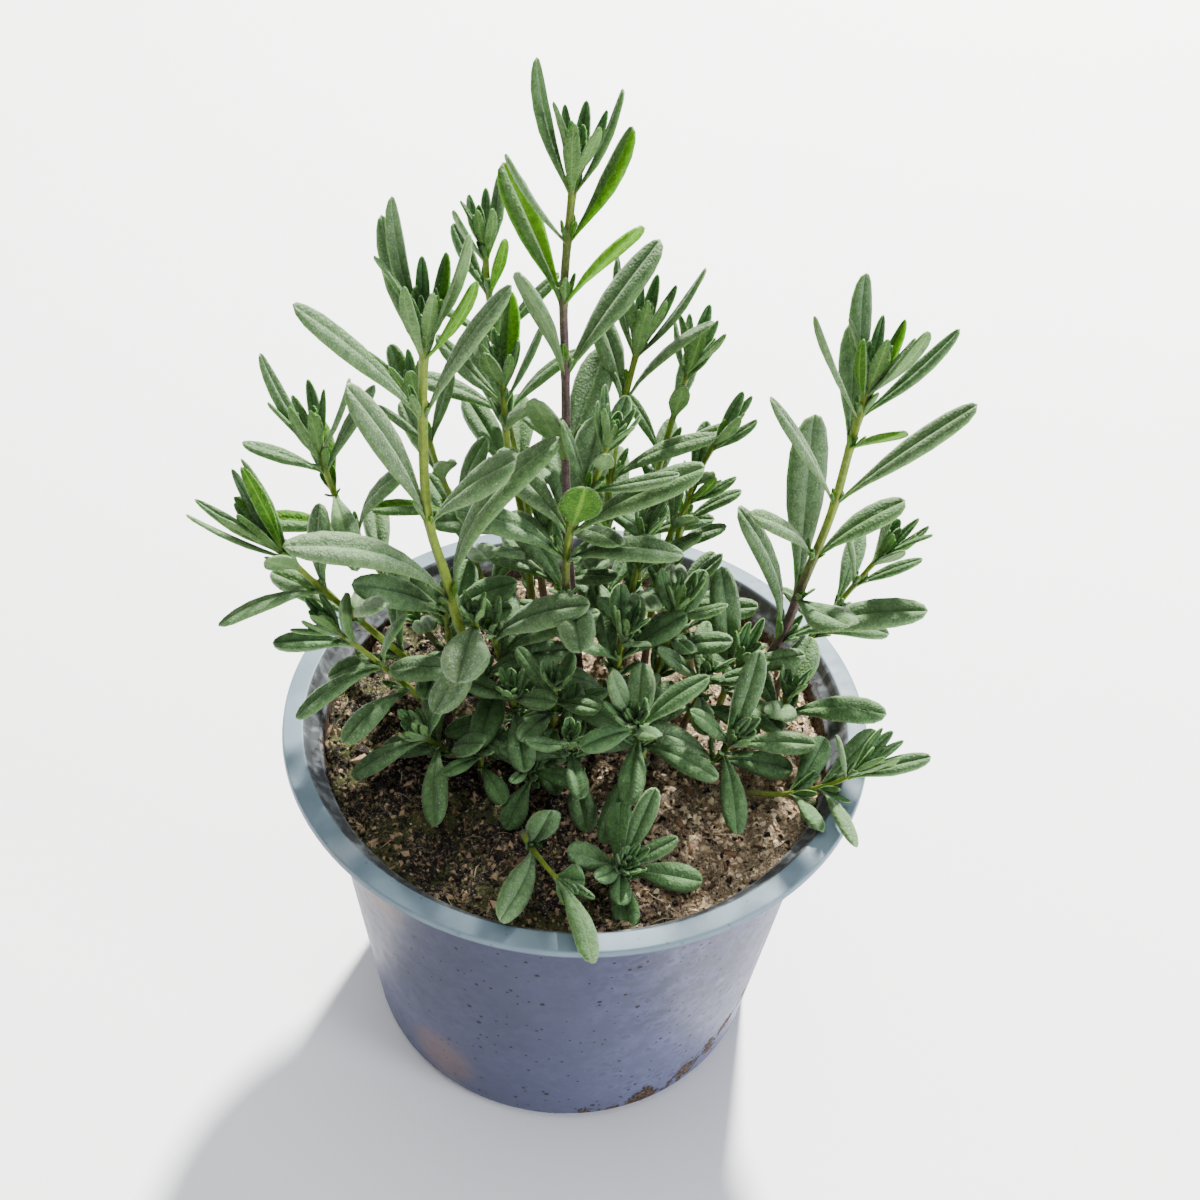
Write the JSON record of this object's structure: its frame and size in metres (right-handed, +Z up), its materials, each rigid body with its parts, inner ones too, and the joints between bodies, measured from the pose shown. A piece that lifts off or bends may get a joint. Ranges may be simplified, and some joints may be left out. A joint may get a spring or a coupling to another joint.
{
  "type": "potted lavender plant",
  "caption": "Young lavender plant: leafy upright shoots with narrow grey-green leaves, growing from peat soil in a thin plastic nursery pot.",
  "frame": {"origin": "middle of the pot's base, on the surface that it stands on", "axes": "+Z up along the pot's axis, -Y towards the front that the picture shows, +X to the right of it"},
  "size_m": [0.1516, 0.1339, 0.2358],
  "materials": {
    "pot_plastic": "satin",
    "peat_soil": "matte",
    "lavender_leaf": "matte"
  },
  "bodies": {
    "root": {"pot": "pot_plastic", "shoot_back_left": "lavender_leaf", "shoot_back_tip": "lavender_leaf", "shoot_centre_front": "lavender_leaf", "shoot_far_left": "lavender_leaf", "shoot_fill_back": "lavender_leaf", "shoot_fill_back_right": "lavender_leaf", "shoot_fill_centre": "lavender_leaf", "shoot_fill_far_right": "lavender_leaf", "shoot_fill_front": "lavender_leaf", "shoot_fill_low_left": "lavender_leaf", "shoot_fill_low_middle": "lavender_leaf", "shoot_fill_middle": "lavender_leaf", "shoot_fill_right": "lavender_leaf", "shoot_front_middle": "lavender_leaf", "shoot_front_rosette": "lavender_leaf", "shoot_front_trail": "lavender_leaf", "shoot_heart": "lavender_leaf", "shoot_left_back": "lavender_leaf", "shoot_left_dark": "lavender_leaf", "shoot_left_dome": "lavender_leaf", "shoot_left_front": "lavender_leaf", "shoot_left_low": "lavender_leaf", "shoot_middle_back": "lavender_leaf", "shoot_middle_dark": "lavender_leaf", "shoot_right_back_low": "lavender_leaf", "shoot_right_back_middle": "lavender_leaf", "shoot_right_back_tip": "lavender_leaf", "shoot_right_behind": "lavender_leaf", "shoot_right_centre": "lavender_leaf", "shoot_right_front": "lavender_leaf", "shoot_right_inner": "lavender_leaf", "shoot_right_low": "lavender_leaf", "shoot_right_trail": "lavender_leaf", "shoot_short_right": "lavender_leaf", "shoot_tall_centre": "lavender_leaf", "shoot_tall_left": "lavender_leaf", "shoot_tall_right": "lavender_leaf", "soil": "peat_soil"}
  },
  "joints": []
}
